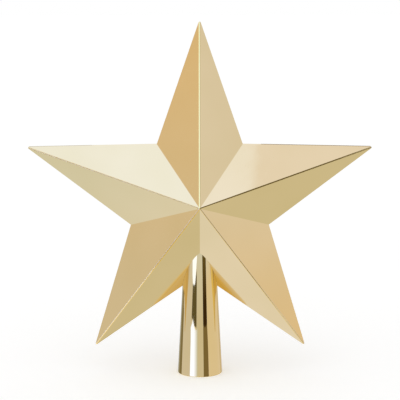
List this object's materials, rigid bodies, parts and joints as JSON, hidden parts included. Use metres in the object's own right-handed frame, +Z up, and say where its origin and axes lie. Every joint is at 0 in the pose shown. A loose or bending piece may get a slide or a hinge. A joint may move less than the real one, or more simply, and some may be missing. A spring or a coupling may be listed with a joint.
{
  "type": "christmas tree topper star",
  "caption": "Faceted hollow star in metallised gold plastic, with front and back shells clamped on a tapered tube socket that slips over the tip of a Christmas tree.",
  "frame": {"origin": "centre of the socket's mouth, on the plane of its rim, where the part stands on a surface", "axes": "+Z up along the socket to the star's top tip, -Y out of the front shell towards the viewer, +X to the viewer's right"},
  "size_m": [0.2104, 0.053, 0.2181],
  "materials": {
    "satin_gold_plastic": "moulded polystyrene, vacuum-metallised gold under a satin lacquer",
    "polished_gold_plastic": "moulded polystyrene, vacuum-metallised gold under a clear gloss lacquer"
  },
  "bodies": {
    "root": {"star_front_shell": "satin_gold_plastic", "star_back_shell": "satin_gold_plastic", "tree_socket": "polished_gold_plastic"}
  },
  "joints": []
}
